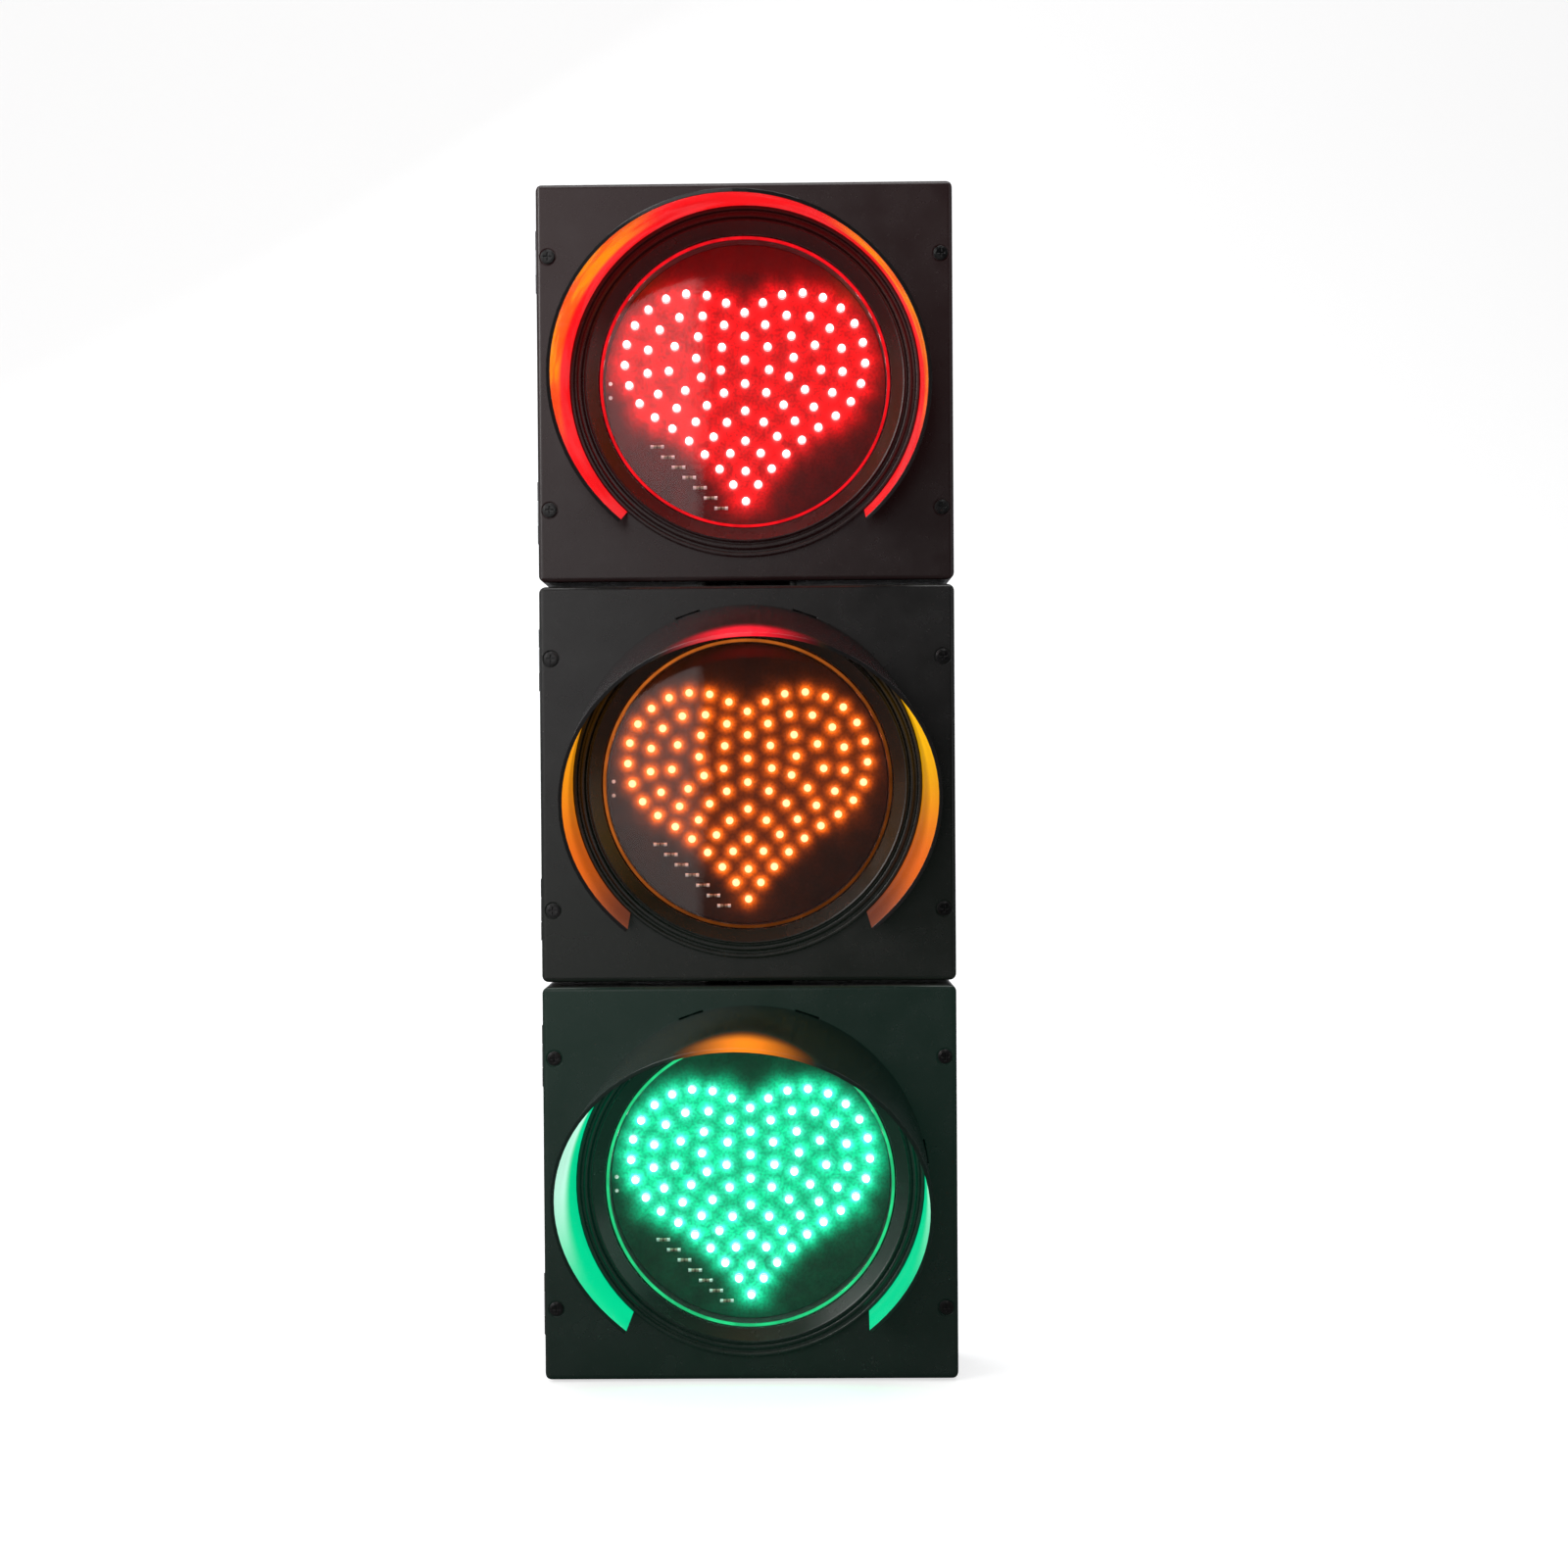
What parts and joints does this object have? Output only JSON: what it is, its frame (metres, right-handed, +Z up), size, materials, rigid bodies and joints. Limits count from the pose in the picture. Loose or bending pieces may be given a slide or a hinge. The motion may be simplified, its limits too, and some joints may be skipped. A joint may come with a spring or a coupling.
{
  "type": "traffic signal head",
  "caption": "Vertical traffic signal head of stacked red, amber and green sections with hinged doors, cutaway visors, flat lenses and heart-shaped diode arrays, held at its top and bottom.",
  "frame": {"origin": "centre of the bottom mounting hole, on the outer face of its serrated ring", "axes": "+Z up along the stacking axis, the lenses face -Y, +X to the viewer's right"},
  "size_m": [0.282, 0.2698, 0.81],
  "materials": {
    "black_shell": "satin black moulded polycarbonate",
    "black_visor": "satin black formed sheet",
    "black_rubber": "matte rubber",
    "clear_lens": "glossy clear",
    "board_mask": "black solder mask",
    "resistor_body": "lacquered",
    "case_black": "satin",
    "driver_board": "solder mask",
    "zinc_steel": "zinc plated",
    "black_steel": "black coated",
    "brass": "machined",
    "block_cream": "satin",
    "cable_black": "cable jacket",
    "green_diode": "clear epoxy dome",
    "amber_diode": "clear epoxy dome",
    "red_diode": "clear epoxy dome"
  },
  "bodies": {
    "housings": {"green_housing": "black_shell", "amber_housing": "black_shell", "red_housing": "black_shell", "hinge_pins": "zinc_steel", "lock_inserts": "brass", "coupling_rings": "zinc_steel", "coupling_bolts": "zinc_steel", "coupling_nuts": "zinc_steel", "terminal_block": "block_cream", "green_lead": "cable_black", "amber_lead": "cable_black", "red_lead": "cable_black"},
    "green_door_body": {"green_door": "black_shell", "green_door_gasket": "black_rubber", "green_visor": "black_visor", "green_lens": "clear_lens", "green_lens_gasket": "black_rubber", "green_led_board": "board_mask", "green_leds": "green_diode", "green_resistors": "resistor_body", "green_module_case": "case_black", "green_driver": "driver_board", "green_module_clips": "zinc_steel", "green_clip_screws": "zinc_steel", "green_hinge_leaves": "zinc_steel", "green_hinge_screws": "black_steel"},
    "green_lock_upper": {"green_lock_screw_upper": "black_steel"},
    "green_lock_lower": {"green_lock_screw_lower": "black_steel"},
    "amber_door_body": {"amber_door": "black_shell", "amber_door_gasket": "black_rubber", "amber_visor": "black_visor", "amber_lens": "clear_lens", "amber_lens_gasket": "black_rubber", "amber_led_board": "board_mask", "amber_leds": "amber_diode", "amber_resistors": "resistor_body", "amber_module_case": "case_black", "amber_driver": "driver_board", "amber_module_clips": "zinc_steel", "amber_clip_screws": "zinc_steel", "amber_hinge_leaves": "zinc_steel", "amber_hinge_screws": "black_steel"},
    "amber_lock_upper": {"amber_lock_screw_upper": "black_steel"},
    "amber_lock_lower": {"amber_lock_screw_lower": "black_steel"},
    "red_door_body": {"red_door": "black_shell", "red_door_gasket": "black_rubber", "red_visor": "black_visor", "red_lens": "clear_lens", "red_lens_gasket": "black_rubber", "red_led_board": "board_mask", "red_leds": "red_diode", "red_resistors": "resistor_body", "red_module_case": "case_black", "red_driver": "driver_board", "red_module_clips": "zinc_steel", "red_clip_screws": "zinc_steel", "red_hinge_leaves": "zinc_steel", "red_hinge_screws": "black_steel"},
    "red_lock_upper": {"red_lock_screw_upper": "black_steel"},
    "red_lock_lower": {"red_lock_screw_lower": "black_steel"}
  },
  "joints": [
    {"name": "green_door_hinge", "type": "hinge", "parent": "housings", "child": "green_door_body", "pos_m": [-0.1388, -0.048, 0.135], "axis": [0, 0, -1], "range_deg": [0, 110], "deforming": ["green_lead"]},
    {"name": "amber_door_hinge", "type": "hinge", "parent": "housings", "child": "amber_door_body", "pos_m": [-0.1388, -0.048, 0.405], "axis": [0, 0, -1], "range_deg": [0, 110], "deforming": ["amber_lead"]},
    {"name": "red_door_hinge", "type": "hinge", "parent": "housings", "child": "red_door_body", "pos_m": [-0.1388, -0.048, 0.675], "axis": [0, 0, -1], "range_deg": [0, 110], "deforming": ["red_lead"]},
    {"name": "green_upper_lock_turn", "type": "hinge", "parent": "green_door_body", "child": "green_lock_upper", "pos_m": [0.132, -0.06, 0.22], "axis": [0, 1, 0], "continuous": true},
    {"name": "green_lower_lock_turn", "type": "hinge", "parent": "green_door_body", "child": "green_lock_lower", "pos_m": [0.132, -0.06, 0.05], "axis": [0, 1, 0], "continuous": true},
    {"name": "amber_upper_lock_turn", "type": "hinge", "parent": "amber_door_body", "child": "amber_lock_upper", "pos_m": [0.132, -0.06, 0.49], "axis": [0, 1, 0], "continuous": true},
    {"name": "amber_lower_lock_turn", "type": "hinge", "parent": "amber_door_body", "child": "amber_lock_lower", "pos_m": [0.132, -0.06, 0.32], "axis": [0, 1, 0], "continuous": true},
    {"name": "red_upper_lock_turn", "type": "hinge", "parent": "red_door_body", "child": "red_lock_upper", "pos_m": [0.132, -0.06, 0.76], "axis": [0, 1, 0], "continuous": true},
    {"name": "red_lower_lock_turn", "type": "hinge", "parent": "red_door_body", "child": "red_lock_lower", "pos_m": [0.132, -0.06, 0.59], "axis": [0, 1, 0], "continuous": true}
  ]
}
